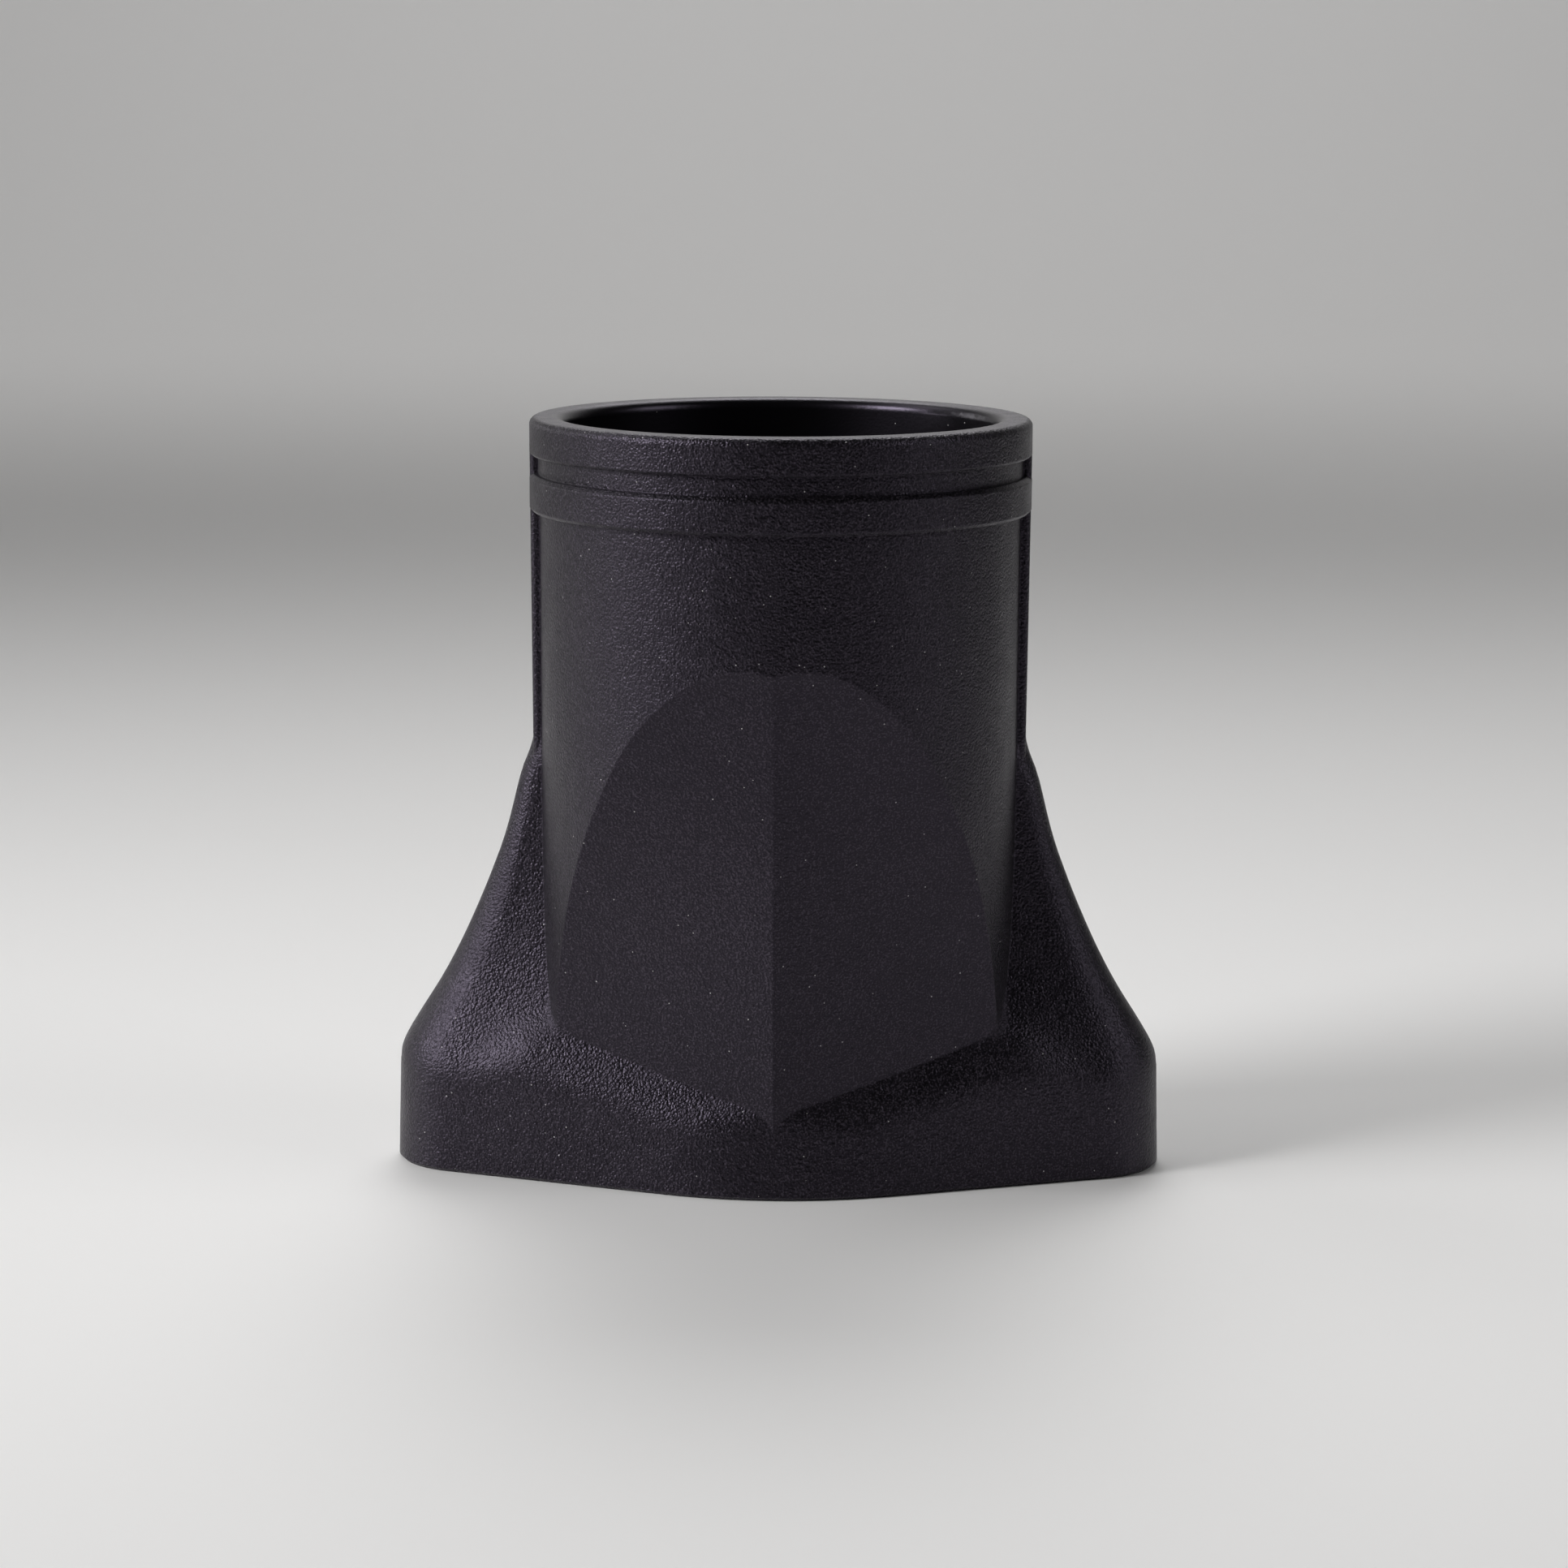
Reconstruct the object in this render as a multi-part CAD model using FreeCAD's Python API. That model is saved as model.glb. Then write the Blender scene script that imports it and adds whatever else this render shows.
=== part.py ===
import FreeCAD, Part
import math
import os

# Concentrator nozzle for a hair dryer, moulded in one piece.
# Millimetres. Z runs up the socket axis, X along the outlet slot, and the outlet face is Z = 0.

# Socket collar
height = 70.5
ring_r = 23.25
ring_high = 3.4
groove_r = 22.45
groove_high = 1.8
band_high = 3.4
rim_outer_round = 0.7
rim_inner_round = 0.9
ring_foot_bevel = 0.2
band_top_bevel = 0.4
band_foot_bevel = 0.3

# Barrel below the collar, with a slight moulding taper
barrel_r = 22.3
barrel_foot_r = 22.1

# Facets that narrow the barrel front and back. Each pair meets in a ridge in the YZ plane.
# At six heights: how far the ridge stands out and how far each facet turns back from it.
facet_foot_ridge = 14.6
facet_foot_turn = 17.7
facet_waist_z = 25.0
facet_waist_ridge = 18.1
facet_waist_turn = 20.6
facet_chest_z = 40.0
facet_chest_ridge = 20.15
facet_chest_turn = 13.1
facet_neck_z = 46.5
facet_neck_ridge = 21.5
facet_neck_turn = 8.95
facet_brow_z = 49.2
facet_brow_ridge = 22.2
facet_brow_turn = 7.1
facet_crown_z = 50.2
facet_crown_ridge = 22.7
facet_crown_turn = 8.3
facet_reach = 26.0

# Outlet foot, a lozenge with round ends and broad front and back corners, leaning in as it rises
foot_half_len = 36.05
foot_end_r = 7.5
foot_turn = 19.6
foot_front_r = 30.5
foot_top_z = 16.0
foot_top_half_len = 35.65
foot_top_end_r = 6.9
foot_top_turn = 18.0
foot_bevel = 0.35
foot_end_z = 9.5
foot_end_x = 30.4
foot_rise_x = 22.0

# Shoulders that roll the foot's walls back, so that the facets meet them in a wide V
# and the wings rise out of them. Each is given at one height by its half depth on the YZ plane.
front_shoulder_z = 8.2
front_shoulder_depth = 15.8
front_shoulder_turn = 12.7
front_shoulder_lean = 25.0
front_shoulder_round = 6.0
side_shoulder_z = 13.1
side_shoulder_depth = 17.8
side_shoulder_turn = 22.5
side_shoulder_lean = 30.0
side_shoulder_r = 15.0
side_shoulder_steps = 6

# Wings that rise from the foot along a hollow curve and die into the side ribs
wing_top_z = 43.3
wing_top_half_len = 22.95
wing_start_lean = 8.5
wing_flare_r = 76.0
wing_corner_r = 5.0
wing_foot_half_len = 35.79
wing_foot_z = 8.0
wing_top_end_r = 2.3
wing_foot_end_r = 7.12
wing_top_turn = 8.0
wing_foot_turn = 17.3
wing_front_r = 30.0
wing_inner_x = 20.2
wing_steps = 7
wing_end_fade = 3

# Side ribs between the wings and the top ring
rib_half_thick = 1.9
rib_top_half_len = 23.2
rib_foot_z = 36.0
rib_edge_round = 0.5

# Socket bore with its stop shoulder, and the air way down to the outlet slot
bore_r = 20.0
bore_deep = 13.5
throat_r = 19.0
wall = 2.4
slot_half_len = 32.6
slot_end_r = 4.6
slot_turn = 18.6
slot_front_r = 24.0
slot_top_z = 30.0
slot_top_half_len = 18.5
slot_top_end_r = 1.6
slot_top_turn = 14.0
slot_top_front_r = 8.0
slot_lip_bevel = 0.5

# How far cutting and joining bodies run past the faces they meet
past = 1.0

# How close two positions count as the same
tiny = 0.005


def vec(x, y, z):
    return FreeCAD.Vector(x, y, z)


def lozenge(half_len, end_r, turn, front_r, z):
    """Closed outline of a lozenge with round ends and rounded front and back corners."""
    a = math.radians(turn)
    s, c = math.sin(a), math.cos(a)
    tip = half_len + end_r * (1.0 / s - 1.0)
    depth = tip * math.tan(a)
    end_x = half_len - end_r
    front_y = depth - front_r / c
    end_t = vec(end_x + end_r * s, end_r * c, z)
    front_t = vec(front_r * s, front_y + front_r * c, z)

    def at(p, sx, sy):
        return vec(sx * p.x, sy * p.y, z)

    edges = [
        Part.Arc(at(end_t, 1, -1), vec(half_len, 0, z), at(end_t, 1, 1)),
        Part.LineSegment(at(end_t, 1, 1), at(front_t, 1, 1)),
        Part.Arc(at(front_t, 1, 1), vec(0, front_y + front_r, z), at(front_t, -1, 1)),
        Part.LineSegment(at(front_t, -1, 1), at(end_t, -1, 1)),
        Part.Arc(at(end_t, -1, 1), vec(-half_len, 0, z), at(end_t, -1, -1)),
        Part.LineSegment(at(end_t, -1, -1), at(front_t, -1, -1)),
        Part.Arc(at(front_t, -1, -1), vec(0, -front_y - front_r, z), at(front_t, 1, -1)),
        Part.LineSegment(at(front_t, 1, -1), at(end_t, 1, -1)),
    ]
    return Part.Wire([e.toShape() for e in edges])


def grown(half_len, end_r, turn, front_r, by, z):
    """The lozenge outline moved outwards all round by a distance, or inwards where it is negative."""
    return lozenge(half_len + by, end_r + by, turn, front_r + by, z)


def facet_outline(ridge, turn, z):
    """Corners of the six-sided outline whose front and back sides meet on the ridge."""
    side_y = ridge - facet_reach * math.tan(math.radians(turn))
    return [
        vec(0, -ridge, z),
        vec(facet_reach, -side_y, z),
        vec(facet_reach, side_y, z),
        vec(0, ridge, z),
        vec(-facet_reach, side_y, z),
        vec(-facet_reach, -side_y, z),
    ]


def closed(corners):
    """Closed outline with straight sides between corners."""
    return Part.makePolygon(corners + corners[:1])


def railed(outlines):
    """Body whose corners run in smooth curves up through a stack of straight-sided outlines."""
    rails = []
    for corner in zip(*outlines):
        rail = Part.BSplineCurve()
        rail.interpolate(Points=list(corner), Parameters=[p.z for p in corner])
        rails.append(rail.toShape())
    faces = [Part.makeRuledSurface(rails[i - 1], rails[i]) for i in range(len(rails))]
    faces.append(Part.Face(closed(outlines[0])))
    faces.append(Part.Face(closed(outlines[-1])))
    return Part.makeSolid(Part.makeShell(faces))


def facet_body(inset):
    """Body bounded by the four facets, drawn in from them by the inset."""
    return railed([
        facet_outline(facet_foot_ridge - inset, facet_foot_turn, 0),
        facet_outline(facet_waist_ridge - inset, facet_waist_turn, facet_waist_z),
        facet_outline(facet_chest_ridge - inset, facet_chest_turn, facet_chest_z),
        facet_outline(facet_neck_ridge - inset, facet_neck_turn, facet_neck_z),
        facet_outline(facet_brow_ridge - inset, facet_brow_turn, facet_brow_z),
        facet_outline(facet_crown_ridge - inset, facet_crown_turn, facet_crown_z),
    ])


def turned(corners):
    """Body turned about Z from square corners, each with radius, height, cut back and rounded or not."""
    stops = []
    for i, (r, z, cut, rounded) in enumerate(corners):
        corner = vec(r, 0, z)
        before = vec(corners[i - 1][0], 0, corners[i - 1][1])
        after = vec(corners[i + 1 - len(corners)][0], 0, corners[i + 1 - len(corners)][1])
        back = (before - corner).normalize() * cut
        on = (after - corner).normalize() * cut
        middle = corner + (back + on) * (1 - math.sqrt(0.5))
        stops.append((corner + back, middle, corner + on, cut, rounded))
    edges = []
    for i, (enter, middle, leave, cut, rounded) in enumerate(stops):
        if rounded:
            edges.append(Part.Arc(enter, middle, leave).toShape())
        elif cut > 0:
            edges.append(Part.LineSegment(enter, leave).toShape())
        edges.append(Part.LineSegment(leave, stops[i + 1 - len(stops)][0]).toShape())
    return Part.Face(Part.Wire(edges)).revolve(vec(0, 0, 0), vec(0, 0, 1), 360)


def rhombus(depth, turn, z):
    """Corners of a four-sided outline with the given half depth on the YZ plane."""
    reach = depth / math.tan(math.radians(turn))
    return [vec(0, -depth, z), vec(reach, 0, z), vec(0, depth, z), vec(-reach, 0, z)]


def shoulder(z, depth, turn, lean):
    """Four-sided roof whose planes have the half depth at height z and lean in as they rise."""
    slope = math.tan(math.radians(lean)) / math.cos(math.radians(turn))
    low_z = -past
    high_z = foot_top_z + past
    return Part.makeLoft([
        closed(rhombus(depth + (z - low_z) * slope, turn, low_z)),
        closed(rhombus(depth + (z - high_z) * slope, turn, high_z)),
    ], True, True)


def curled_shoulder(z, depth, turn, lean, r, steps):
    """Four-sided roof that curls in along an arc and has the half depth and lean at height z."""
    here = math.radians(lean)
    c = math.cos(math.radians(turn))
    top = math.asin(math.sin(here) + (foot_top_z + past - z) / r)
    outlines = [rhombus(depth + r * (1 - math.cos(here)) / c, turn, -past)]
    for i in range(steps):
        a = top * i / (steps - 1)
        in_by = r * (math.cos(here) - math.cos(a)) / c
        up_by = r * (math.sin(a) - math.sin(here))
        outlines.append(rhombus(depth - in_by, turn, z + up_by))
    return railed(outlines)


def shoulder_edges(shape, z, depth, turn, lean, below):
    """Edges where the planes of a shoulder run out on a wall, as far as they start below a height."""
    slope = math.tan(math.radians(lean)) / math.cos(math.radians(turn))
    found = []
    for e in shape.Edges:
        mid = e.valueAt((e.FirstParameter + e.LastParameter) / 2)
        off = abs(mid.y) + abs(mid.x) * math.tan(math.radians(turn)) + (mid.z - z) * slope - depth
        low = min(v.Z for v in e.Vertexes)
        if abs(off) < tiny and abs(mid.x) > past and low < below - tiny:
            found.append(e)
    return found


# Collar: ring, groove and band, turned about the socket axis
ring_z = height - ring_high
band_top_z = ring_z - groove_high
band_z = band_top_z - band_high
corners = [
    (bore_r, band_z, 0, False),
    (ring_r, band_z, band_foot_bevel, False),
    (ring_r, band_top_z, band_top_bevel, False),
    (groove_r, band_top_z, 0, False),
    (groove_r, ring_z, 0, False),
    (ring_r, ring_z, ring_foot_bevel, False),
    (ring_r, height, rim_outer_round, True),
    (bore_r, height, rim_inner_round, True),
]
collar = turned(corners)

# Barrel, cut back by the facets up to the crown and plain above it
barrel = Part.makeCone(barrel_foot_r, barrel_r, band_z + past)
faceted = barrel.common(facet_body(0))
far = foot_half_len + past
above_crown = Part.makeBox(2 * far, 2 * far, height, vec(-far, -far, facet_crown_z))
barrel = faceted.fuse(barrel.common(above_crown))

# Foot under its shoulders
foot = Part.makeLoft([
    grown(foot_half_len, foot_end_r, foot_turn, foot_front_r, -foot_bevel, 0),
    lozenge(foot_half_len, foot_end_r, foot_turn, foot_front_r, foot_bevel),
    lozenge(foot_top_half_len, foot_top_end_r, foot_top_turn, foot_front_r, foot_top_z),
], True, True)
front = (front_shoulder_z, front_shoulder_depth, front_shoulder_turn, front_shoulder_lean)
sides = (side_shoulder_z, side_shoulder_depth, side_shoulder_turn, side_shoulder_lean)
high = foot_top_z + past
profile = [
    vec(-far, -far, -past),
    vec(far, -far, -past),
    vec(far, -far, foot_end_z),
    vec(foot_end_x, -far, foot_end_z),
    vec(foot_rise_x, -far, high),
    vec(-foot_rise_x, -far, high),
    vec(-foot_end_x, -far, foot_end_z),
    vec(-far, -far, foot_end_z),
]
ends = Part.Face(closed(profile)).extrude(vec(0, 2 * far, 0))
foot = foot.common(shoulder(*front)).Solids[0]
foot = foot.makeFillet(front_shoulder_round, shoulder_edges(foot, *front, foot_top_z))
foot = foot.common(ends)
foot = foot.common(curled_shoulder(*sides, side_shoulder_r, side_shoulder_steps)).Solids[0]

# Wings: outlines stacked up the hollow curve and its rounded lower corner
lean = math.radians(wing_start_lean)
flare_x = wing_top_half_len + wing_flare_r * math.cos(lean)
flare_z = wing_top_z + wing_flare_r * math.sin(lean)
corner_x = wing_foot_half_len - wing_corner_r
corner_drop = math.sqrt((wing_flare_r + wing_corner_r) ** 2 - (flare_x - corner_x) ** 2)
corner_z = flare_z - corner_drop
corner_lean = math.asin(corner_drop / (wing_flare_r + wing_corner_r))
stations = [(wing_foot_half_len, wing_foot_z), (wing_foot_half_len, corner_z)]
half_x = corner_x + wing_corner_r * math.cos(corner_lean / 2)
half_z = corner_z + wing_corner_r * math.sin(corner_lean / 2)
stations.append((half_x, half_z))
for i in range(wing_steps):
    a = corner_lean + (lean - corner_lean) * i / (wing_steps - 1)
    stations.append((flare_x - wing_flare_r * math.cos(a), flare_z - wing_flare_r * math.sin(a)))
outlines = []
for half_len, z in stations:
    down = min(1.0, (wing_top_z - z) / (wing_top_z - corner_z))
    end_r = wing_top_end_r + (wing_foot_end_r - wing_top_end_r) * down ** wing_end_fade
    turn = wing_top_turn + (wing_foot_turn - wing_top_turn) * down
    outlines.append(lozenge(half_len, end_r, turn, wing_front_r, z))
wings = Part.makeLoft(outlines, True, False)
between = Part.makeBox(2 * wing_inner_x, 2 * far, height, vec(-wing_inner_x, -far, 0))
wings = wings.cut(between)

# Ribs
rib_top_z = ring_z + past
rib_side = [
    vec(-wing_top_half_len, 0, rib_foot_z),
    vec(wing_top_half_len, 0, rib_foot_z),
    vec(rib_top_half_len, 0, rib_top_z),
    vec(-rib_top_half_len, 0, rib_top_z),
]
rib = Part.Face(closed(rib_side))
rib.translate(vec(0, -rib_half_thick, 0))
ribs = rib.extrude(vec(0, 2 * rib_half_thick, 0))
rib_corners = [e for e in ribs.Edges if abs(e.Vertexes[0].Z - e.Vertexes[-1].Z) > past]
ribs = ribs.makeFillet(rib_edge_round, rib_corners)

body = collar.fuse([barrel, foot, wings, ribs])
body = body.removeSplitter()

# Air way: socket bore, throat that follows the facets, and the slot that spreads into the wings
bore = Part.makeCylinder(bore_r, bore_deep + past, vec(0, 0, height - bore_deep))
throat = Part.makeCylinder(throat_r, height - bore_deep + past)
throat_low = throat.common(facet_body(wall))
slot = Part.makeLoft([
    grown(slot_half_len, slot_end_r, slot_turn, slot_front_r, slot_lip_bevel, 0),
    lozenge(slot_half_len, slot_end_r, slot_turn, slot_front_r, slot_lip_bevel),
    lozenge(slot_top_half_len, slot_top_end_r, slot_top_turn, slot_top_front_r, slot_top_z),
], True, True)
nozzle = body.cut(bore.fuse([throat_low, throat.common(above_crown), slot]))
nozzle = nozzle.Solids[0]
os.makedirs("parts", exist_ok=True)
nozzle.exportStep("parts/nozzle_body.step")
print("nozzle of", round(nozzle.Volume), "cubic millimetres, valid:", nozzle.isValid())
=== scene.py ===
# %% [markdown]
# # A hair dryer nozzle in black textured plastic
# This lesson dresses one moulded part: the concentrator nozzle that pushes onto the front of a hair
# dryer. The shape comes ready from the construction model, which is loaded here as a fixed frame.
# What is left for Blender is the finish of the plastic, the light and the camera.

# %% Load the frame
import math

import bpy
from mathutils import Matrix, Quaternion, Vector

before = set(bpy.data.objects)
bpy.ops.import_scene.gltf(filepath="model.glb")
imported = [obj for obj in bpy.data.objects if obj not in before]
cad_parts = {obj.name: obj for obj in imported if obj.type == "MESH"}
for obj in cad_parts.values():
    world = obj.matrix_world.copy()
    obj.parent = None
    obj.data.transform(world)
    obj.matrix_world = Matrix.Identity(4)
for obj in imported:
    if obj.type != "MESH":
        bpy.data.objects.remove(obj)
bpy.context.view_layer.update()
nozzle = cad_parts["nozzle_body"]
bpy.ops.object.select_all(action="DESELECT")
print("loaded", nozzle.name, "with", len(nozzle.data.polygons), "faces")

# %% [markdown]
# ## Small helpers
# Colours are easiest to pick as the hex values of a paint program, but shaders work with linear
# light, so one function converts them. Patterns are easiest to think of in millimetres, while the
# scene is in metres, so a second function turns a grain width into the scale of a texture node.
# A third one adds a node, sets it up and links it in a single call.

# %% Helpers
MM = 0.001


def linear(hex_colour):
    """An sRGB hex colour as linear red, green, blue and alpha, by the curve of the sRGB standard."""
    channels = [int(hex_colour[i:i + 2], 16) / 255 for i in (1, 3, 5)]
    light = [c / 12.92 if c <= 0.04045 else ((c + 0.055) / 1.055) ** 2.4 for c in channels]
    return (*light, 1.0)


def per_metre(width_mm):
    """Texture scale that gives a pattern of this width."""
    return 1 / (width_mm * MM)


def add(tree, kind, links=None, inputs=None, **settings):
    """Adds a node, sets its properties and inputs, and links other nodes' outputs to its inputs."""
    node = tree.nodes.new(kind)
    for name, value in settings.items():
        setattr(node, name, value)
    for name, value in (inputs or {}).items():
        node.inputs[name].default_value = value
    for name, output in (links or {}).items():
        tree.links.new(output, node.inputs[name])
    return node


print("helpers ready")

# %% [markdown]
# ## The plastic
# The real part is a heat-resistant nylon or ABS moulding, dyed black all through. The steel mould was
# spark eroded, which leaves a field of tiny rounded pits, and the plastic copies them: close up it
# looks like fine leather, with sparks of light on the grains. The eye reads it as a deep black that
# turns to soft grey where light grazes it. Grains this small could be sculpted, but that would cost
# millions of faces, so they are a bump pattern: cells for the pebbles and a finer noise that breaks
# them up. The real fine grain is about 0.1 mm; it is drawn a little coarser so that a render shows it.

# %% Grain
PEBBLE_MM = 0.28
FINE_GRAIN_MM = 0.17
FINE_DETAIL = 0.5

plastic = bpy.data.materials.new("spark_textured_black_plastic")
plastic.use_nodes = True
tree = plastic.node_tree
tree.nodes.clear()
place = add(tree, "ShaderNodeTexCoord").outputs["Object"]

pebbles = add(tree, "ShaderNodeTexVoronoi", {"Vector": place}, {"Scale": per_metre(PEBBLE_MM)})
fine = add(
    tree, "ShaderNodeTexNoise", {"Vector": place},
    {"Scale": per_metre(FINE_GRAIN_MM), "Detail": FINE_DETAIL},
)
grain = add(
    tree, "ShaderNodeMath", {0: fine.outputs["Fac"], 1: pebbles.outputs["Distance"]},
    operation="SUBTRACT",
)
print("grain of", PEBBLE_MM, "mm pebbles and", FINE_GRAIN_MM, "mm fine grain")

# %% [markdown]
# ## Where the finish changes
# Two places differ from the rest. The socket is a polished core in the mould, so that the dryer's
# barrel slides in: there the grain fades out and the plastic is glossier. And where the wings grow
# out of the foot the mould maker blends the walls with a generous radius. Both places could be painted
# by hand, but the position on the part, in millimetres, picks them exactly: a map range node is a soft
# switch that goes from its start to its end between two limits.

# %% Soft switches
SOCKET_EDGE_MM = (20.3, 21.3)
SOCKET_FOOT_MM = (50.0, 54.0)
BLEND_SIDE_MM = (18.0, 21.0)
BLEND_TOP_MM = (14.0, 18.0)
WING_SIDE_MM = (23.6, 25.6)
BAND_TOP_MM = (5.0, 8.5)

axes = add(tree, "ShaderNodeSeparateXYZ", {"Vector": place}).outputs
across = add(tree, "ShaderNodeMath", {0: axes["X"]}, operation="ABSOLUTE").outputs["Value"]
flat = add(tree, "ShaderNodeCombineXYZ", {"X": axes["X"], "Y": axes["Y"]}).outputs["Vector"]
from_axis = add(tree, "ShaderNodeVectorMath", {0: flat}, operation="LENGTH").outputs["Value"]

switch = {}
for name, position, limits_mm, start, end in [
    ("socket_edge", from_axis, SOCKET_EDGE_MM, 1, 0),
    ("socket_foot", axes["Z"], SOCKET_FOOT_MM, 0, 1),
    ("blend_side", across, BLEND_SIDE_MM, 0, 1),
    ("blend_top", axes["Z"], BLEND_TOP_MM, 1, 0),
    ("wing_side", across, WING_SIDE_MM, 0, 1),
    ("band_top", axes["Z"], BAND_TOP_MM, 0, 1),
]:
    low, high = [limit * MM for limit in limits_mm]
    switch[name] = add(
        tree, "ShaderNodeMapRange", {"Value": position},
        {"From Min": low, "From Max": high, "To Min": start, "To Max": end},
    ).outputs["Result"]
print("switches", list(switch))

# %% [markdown]
# ## The socket and the blends
# One switch alone is a slab or a tube, so they are combined. Multiplied, two switches give the place
# where both are on, and the larger of two gives the place where either is on. The blends are the
# crests beside the facets and the wings, both above the plain band of the foot.

# %% Socket and blends
socket = add(
    tree, "ShaderNodeMath", {0: switch["socket_edge"], 1: switch["socket_foot"]},
    operation="MULTIPLY",
).outputs["Value"]
crest = add(
    tree, "ShaderNodeMath", {0: switch["blend_side"], 1: switch["blend_top"]},
    operation="MULTIPLY",
).outputs["Value"]
crest_or_wing = add(
    tree, "ShaderNodeMath", {0: crest, 1: switch["wing_side"]},
    operation="MAXIMUM",
).outputs["Value"]
blend = add(
    tree, "ShaderNodeMath", {0: crest_or_wing, 1: switch["band_top"]},
    operation="MULTIPLY",
).outputs["Value"]
print("places for the socket and the blends")

# %% [markdown]
# ## Tone and painted glints
# Moulded plastic is never one even tone. The pits stay deep black while the tops of the grains are
# painted paler. This is partly the grain's own tone and partly painted glints that stand in for sparks
# of light on the grains. So the fine grain also drives the colour, with a slow drift on top of it from
# the way the plastic flowed and cooled. The inside of the socket gets no paler tops, so it keeps the
# black.

# %% Tone and painted glints
FLOW_MM = 14.0
FLOW_DETAIL = 3.0
FLOW_SHARE = 0.15
GLINT_FROM = 0.6
GLINT_FULL = 0.75
PIT_COLOUR = "#040404"
PAINTED_GLINT_COLOUR = "#302c32"

flow = add(
    tree, "ShaderNodeTexNoise", {"Vector": place},
    {"Scale": per_metre(FLOW_MM), "Detail": FLOW_DETAIL},
)
tops = add(
    tree, "ShaderNodeMath", {0: flow.outputs["Fac"], 2: fine.outputs["Fac"]}, {1: FLOW_SHARE},
    operation="MULTIPLY_ADD",
)
# The paler grain tops are painted glints as well as grain tone: colour that stands in for light
# sparkling on the grains.
glint_share = add(
    tree, "ShaderNodeMapRange", {"Value": tops.outputs["Value"]},
    {"From Min": GLINT_FROM, "From Max": GLINT_FULL},
)
outside = add(tree, "ShaderNodeMath", {1: socket}, {0: 1.0}, operation="SUBTRACT")
painted_glints = add(
    tree, "ShaderNodeMath", {0: glint_share.outputs["Result"], 1: outside.outputs["Value"]},
    operation="MULTIPLY",
)
tone_with_glints = add(
    tree, "ShaderNodeMix", {"Factor": painted_glints.outputs["Value"]},
    {"A": linear(PIT_COLOUR), "B": linear(PAINTED_GLINT_COLOUR)},
    data_type="RGBA",
)
print("tone from", PIT_COLOUR, "to", PAINTED_GLINT_COLOUR)

# %% [markdown]
# ## Dust and painted glints
# A black part shows every speck of dust. The pale specks here are partly dust and partly painted
# glints, sparks of light on the grain drawn as colour. Specks could be tiny loose meshes, but a cell
# pattern does it without any: only the very middle of a cell counts as a speck, and most cells have
# their middle above or below the surface, so the specks lie far apart and differ in size.

# %% Dust and painted glints
SPECK_APART_MM = 1.4
SPECK_WIDE_MM = 0.13
DUST_AND_GLINT_COLOUR = "#a5a3a4"

specks = add(tree, "ShaderNodeTexVoronoi", {"Vector": place}, {"Scale": per_metre(SPECK_APART_MM)})
dust_and_glints = add(
    tree, "ShaderNodeMath", {0: specks.outputs["Distance"]}, {1: SPECK_WIDE_MM / 2 / SPECK_APART_MM},
    operation="LESS_THAN",
)
# Pale specks: dust, and painted glints that stand in for sparks of light on the grain.
speckled = add(
    tree, "ShaderNodeMix", {"Factor": dust_and_glints.outputs["Value"], "A": tone_with_glints.outputs["Result"]},
    {"B": linear(DUST_AND_GLINT_COLOUR)},
    data_type="RGBA",
)
print("specks of", SPECK_WIDE_MM, "mm")

# %% [markdown]
# ## Polish
# Handling polishes some patches more than others, so the roughness drifts a little from patch to
# patch. In the socket it has one lower value, because the core of the mould was polished there.

# %% Polish
PATCH_MM = 2.5
PATCH_DETAIL = 2.0
PATCH_LOW = 0.3
PATCH_HIGH = 0.7
WORN_ROUGHNESS = 0.32
FRESH_ROUGHNESS = 0.42
SOCKET_ROUGHNESS = 0.3

patch = add(
    tree, "ShaderNodeTexNoise", {"Vector": place},
    {"Scale": per_metre(PATCH_MM), "Detail": PATCH_DETAIL},
)
polish = add(
    tree, "ShaderNodeMapRange", {"Value": patch.outputs["Fac"]},
    {
        "From Min": PATCH_LOW, "From Max": PATCH_HIGH,
        "To Min": WORN_ROUGHNESS, "To Max": FRESH_ROUGHNESS,
    },
)
rough = add(
    tree, "ShaderNodeMix", {"Factor": socket, "A": polish.outputs["Result"]},
    {"B": SOCKET_ROUGHNESS},
)
print("roughness from", WORN_ROUGHNESS, "to", FRESH_ROUGHNESS)

# %% [markdown]
# ## Soft edges
# No moulded edge is perfectly sharp. The bevel node rounds an edge in the shading only: it bends the
# surface normal near an edge, by a quarter millimetre on the crisp mould edges, much more on the
# blends, and not at all where the foot stands on the floor.

# %% Soft edges
EDGE_ROUND_MM = 0.25
BLEND_ROUND_MM = 2.5
STANDING_EDGE_MM = (0.4, 1.0)
EDGE_SAMPLES = 4

low, high = [limit * MM for limit in STANDING_EDGE_MM]
edge_round = add(
    tree, "ShaderNodeMapRange", {"Value": axes["Z"]},
    {"From Min": low, "From Max": high, "To Max": EDGE_ROUND_MM * MM},
)
blend_round = add(tree, "ShaderNodeMapRange", {"Value": blend}, {"To Max": BLEND_ROUND_MM * MM})
radius = add(
    tree, "ShaderNodeMath", {0: edge_round.outputs["Result"], 1: blend_round.outputs["Result"]},
    operation="MAXIMUM",
)
soft_edge = add(tree, "ShaderNodeBevel", {"Radius": radius.outputs["Value"]}, samples=EDGE_SAMPLES)
print("edges rounded by", EDGE_ROUND_MM, "mm and blends by", BLEND_ROUND_MM, "mm")

# %% [markdown]
# ## All together
# The bump node adds the grain on top of the soft edges, weaker in the socket, and the shader takes
# everything in. The slight violet of the gloss is what many black dyes show. It is the same all over,
# so it is a plain value on the shader, as the refraction index of plastic is.

# %% Finish the plastic
GRAIN_DEPTH_MM = 0.05
GRAIN_OUTSIDE = 1.0
GRAIN_IN_SOCKET = 0.1
PLASTIC_IOR = 1.45
GLOSS_TINT = "#efe0ff"

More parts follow.
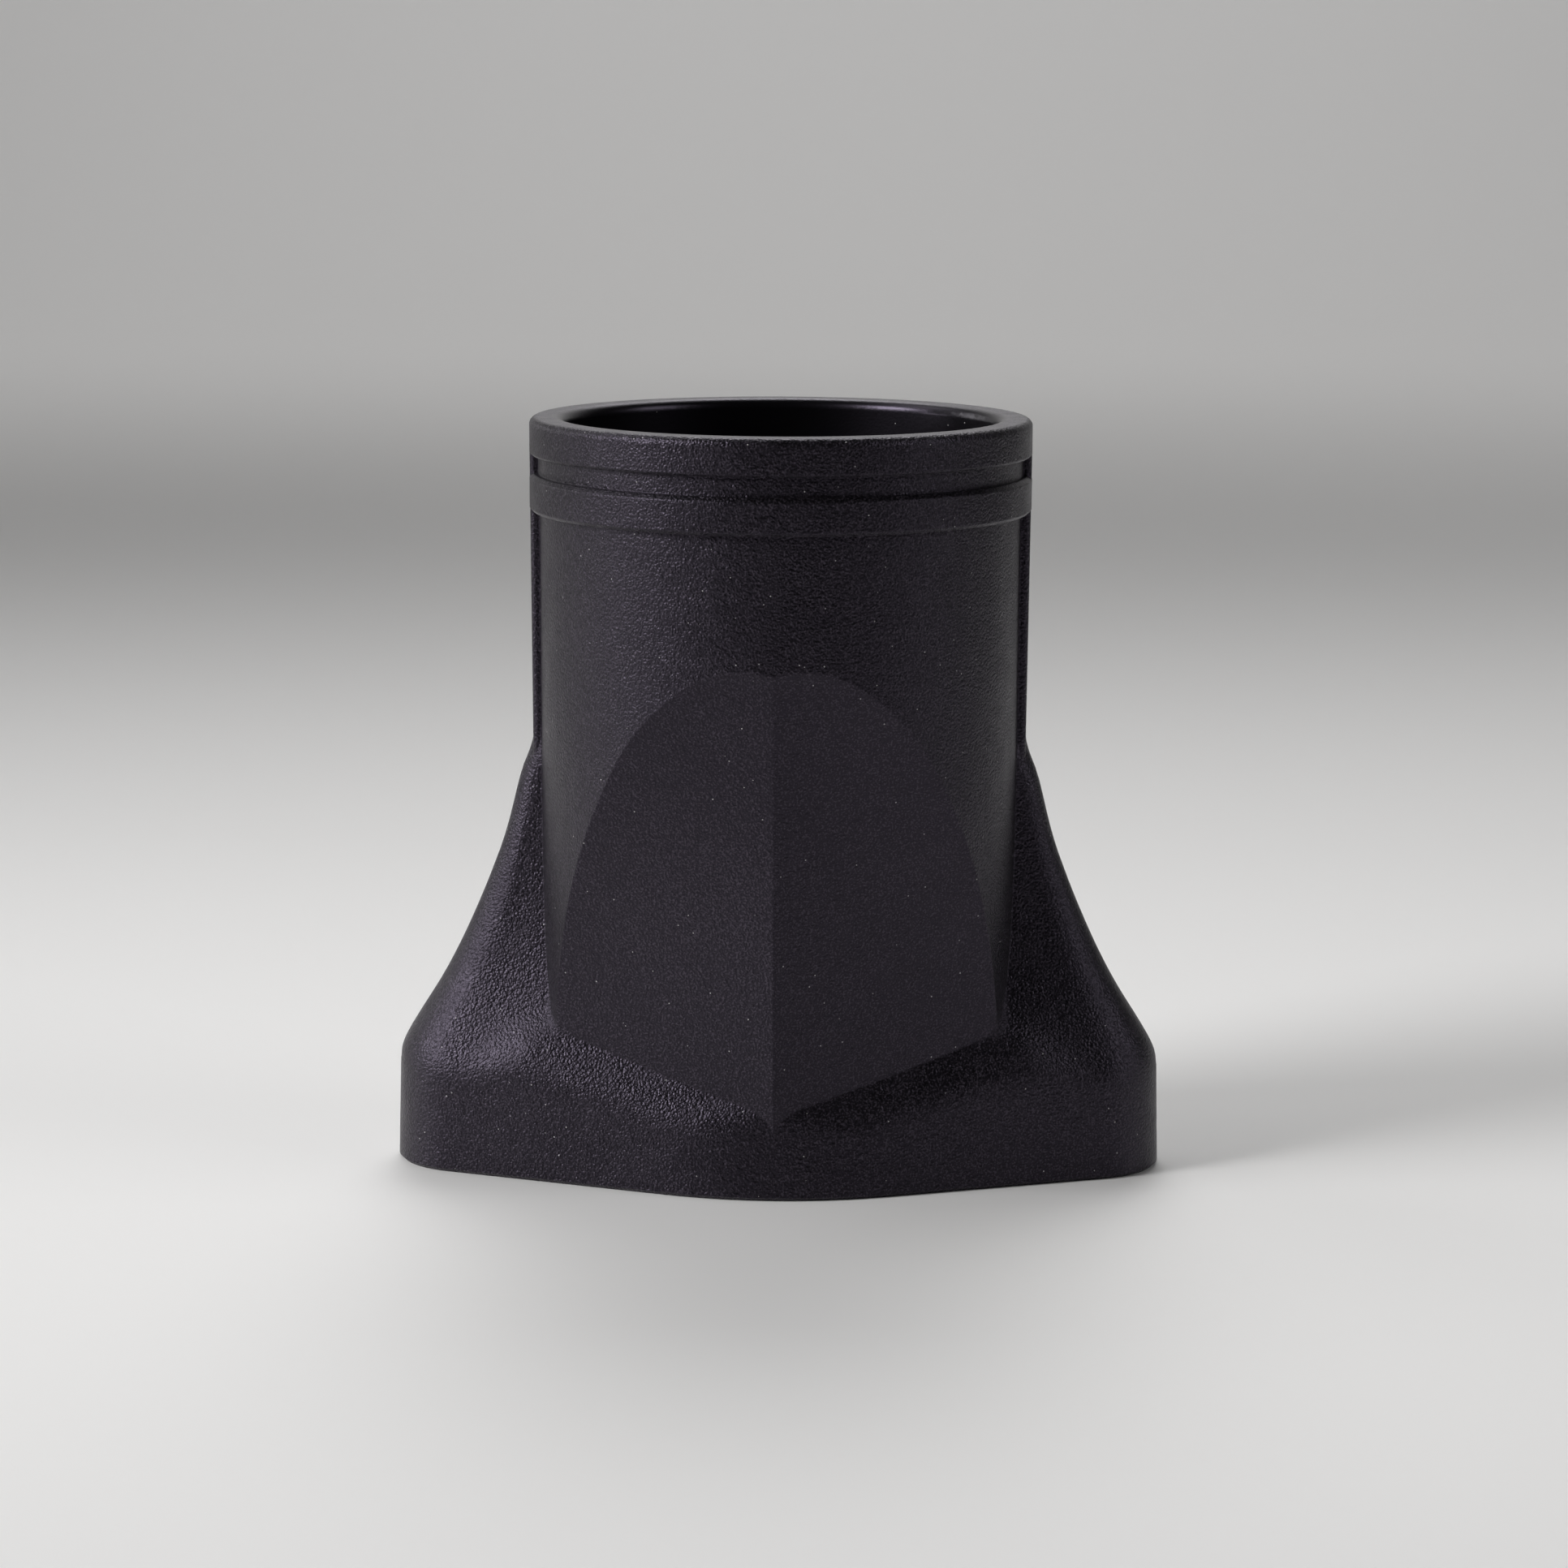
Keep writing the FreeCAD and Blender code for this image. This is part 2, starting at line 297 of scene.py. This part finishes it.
strength = add(
    tree, "ShaderNodeMapRange", {"Value": socket},
    {"To Min": GRAIN_OUTSIDE, "To Max": GRAIN_IN_SOCKET},
)
bump = add(
    tree, "ShaderNodeBump",
    {
        "Height": grain.outputs["Value"],
        "Strength": strength.outputs["Result"],
        "Normal": soft_edge.outputs["Normal"],
    },
    {"Distance": GRAIN_DEPTH_MM * MM},
)
shader = add(
    tree, "ShaderNodeBsdfPrincipled",
    {
        "Base Color": speckled.outputs["Result"],
        "Roughness": rough.outputs["Result"],
        "Normal": bump.outputs["Normal"],
    },
    {"IOR": PLASTIC_IOR, "Specular Tint": linear(GLOSS_TINT)},
)
add(tree, "ShaderNodeOutputMaterial", {"Surface": shader.outputs["BSDF"]})
for slot in nozzle.material_slots:
    slot.material = plastic
print("plastic on", len(nozzle.material_slots), "slot")

# %% [markdown]
# ## Floor
# The part stands on a pale studio sweep: a floor that bends up into a wall, so no edge shows behind
# the object. It is a plane whose far edge is pulled up, with the fold rounded by a bevel. The sweep is
# of uncoated paper, which the eye reads as a soft, near white ground with hardly any gloss.

# %% Studio sweep
FLOOR_HALF_M = 1.6
WALL_HIGH_M = 1.6
FOLD_ROUND_M = 0.5
FOLD_SEGMENTS = 16

bpy.ops.mesh.primitive_plane_add(size=2 * FLOOR_HALF_M, location=(0, 0, 0))
floor = bpy.context.object
floor.name = "studio_sweep"
bpy.ops.object.mode_set(mode="EDIT")
bpy.ops.mesh.select_mode(type="EDGE")
bpy.ops.mesh.select_all(action="DESELECT")
bpy.ops.object.mode_set(mode="OBJECT")
for edge in floor.data.edges:
    edge.select = all(floor.data.vertices[i].co.y > 0 for i in edge.vertices)
bpy.ops.object.mode_set(mode="EDIT")
bpy.ops.mesh.extrude_region_move(TRANSFORM_OT_translate={"value": (0, 0, WALL_HIGH_M)})
bpy.ops.object.mode_set(mode="OBJECT")
for edge in floor.data.edges:
    ends = [floor.data.vertices[i].co for i in edge.vertices]
    edge.select = all(p.y > 0 and abs(p.z) < MM for p in ends)
bpy.ops.object.mode_set(mode="EDIT")
bpy.ops.mesh.bevel(offset=FOLD_ROUND_M, segments=FOLD_SEGMENTS)
bpy.ops.mesh.select_all(action="SELECT")
bpy.ops.mesh.faces_shade_smooth()
bpy.ops.object.mode_set(mode="OBJECT")
print("sweep with", len(floor.data.polygons), "faces")

# %% [markdown]
# ## Paper
# The floor is not part of the object, so it gets a plain paper.

# %% Paper
PAPER_COLOUR = "#f0efee"
PAPER_ROUGHNESS = 0.6

paper = bpy.data.materials.new("pale_studio_paper")
paper.use_nodes = True
paper_shader = paper.node_tree.nodes["Principled BSDF"]
paper_shader.inputs["Base Color"].default_value = linear(PAPER_COLOUR)
paper_shader.inputs["Roughness"].default_value = PAPER_ROUGHNESS
floor.data.materials.append(paper)
print("paper on", floor.name)

# %% [markdown]
# ## Light
# Black plastic shows almost nothing but reflections, so each lamp is placed by what it mirrors. A key
# light hangs high on the left. The soft box at the left front draws the rolled edge of the left wing,
# a low one on the left the side of the barrel, one behind on the left the outer edge, and a weak one
# on the right keeps that side readable. Two soft boxes behind light the floor and the rim. All of
# these have a grid, which Blender calls spread, because the front of the barrel mirrors the floor in
# front of it, and that floor should not be too bright. The last lamp lights only the wall.

# %% Lamps
GRID_DEG = 50
OPEN_DEG = 180
BARREL_MIDDLE_M = (0, 0, 0.036)
WALL_MIDDLE_M = (0.0, 1.6, 0.5)

# Name, place, aim, width and height in metres, power in watts and angle of the beam
LAMPS = [
    ("key_left", (-0.60, 0.20, 0.70), BARREL_MIDDLE_M, 0.7, 0.5, 0.14, GRID_DEG),
    ("back_top", (0.0, 0.55, 0.75), BARREL_MIDDLE_M, 0.9, 0.5, 0.45, GRID_DEG),
    ("back_far", (0.0, 1.00, 0.90), BARREL_MIDDLE_M, 1.4, 0.5, 0.25, GRID_DEG),
    ("wing_left", (-0.74, -0.34, 0.46), BARREL_MIDDLE_M, 0.4, 0.4, 0.7, GRID_DEG),
    ("barrel_left", (-0.95, 0.0, 0.12), BARREL_MIDDLE_M, 0.3, 0.2, 0.07, GRID_DEG),
    ("streak_left", (-0.75, 0.62, 0.27), BARREL_MIDDLE_M, 0.35, 0.35, 0.06, GRID_DEG),
    ("fill_right", (0.78, -0.18, 0.42), BARREL_MIDDLE_M, 0.4, 0.4, 0.13, GRID_DEG),
    ("backdrop", (0.0, 0.75, 1.0), WALL_MIDDLE_M, 1.2, 0.4, 6.7, OPEN_DEG),
]

for name, place_m, aim_m, wide, high, watts, beam_deg in LAMPS:
    bpy.ops.object.light_add(type="AREA", location=place_m)
    lamp = bpy.context.object
    lamp.name = name
    lamp.data.shape = "RECTANGLE"
    lamp.data.size = wide
    lamp.data.size_y = high
    lamp.data.energy = watts
    lamp.data.spread = math.radians(beam_deg)
    turn = (Vector(aim_m) - Vector(place_m)).to_track_quat("-Z", "Y")
    lamp.rotation_euler = turn.to_euler()

# %% [markdown]
# ## Sky
# A faint grey sky stands for the light that the walls of a real room throw back. The standard view
# transform shows colours as they are, without the film-like curve that Blender starts with.

# %% Sky
SKY_COLOUR = "#c8c8ca"
SKY_STRENGTH = 0.02

world = bpy.data.worlds.new("studio")
bpy.context.scene.world = world
world.use_nodes = True
sky = world.node_tree.nodes["Background"]
sky.inputs["Color"].default_value = linear(SKY_COLOUR)
sky.inputs["Strength"].default_value = SKY_STRENGTH
bpy.context.scene.view_settings.view_transform = "Standard"
print("sky of strength", SKY_STRENGTH)

# %% [markdown]
# ## Camera
# The photograph was taken with a longish lens from about 40 cm, ten degrees above the table. The
# place, aim and slight roll below were worked out from the ellipses of the collar and the foot.

# %% Camera
CAMERA_PLACE_MM = (10.13, -389.98, 103.88)
CAMERA_AIM_MM = (0.4356, 0.0, 36.0046)
CAMERA_ROLL_DEG = 0.276
LENS_MM = 96.9
SENSOR_MM = 36.0
CLIP_START_M = 0.01

bpy.ops.object.camera_add(location=[v * MM for v in CAMERA_PLACE_MM])
camera = bpy.context.object
camera.name = "photo_camera"
camera.data.sensor_width = SENSOR_MM
camera.data.lens = LENS_MM
camera.data.clip_start = CLIP_START_M
look = Vector(CAMERA_AIM_MM) - Vector(CAMERA_PLACE_MM)
roll = Quaternion((0, 0, 1), math.radians(CAMERA_ROLL_DEG))
camera.rotation_euler = (look.to_track_quat("-Z", "Y") @ roll).to_euler()
bpy.context.scene.camera = camera
print("camera", round(look.length), "mm from its aim")
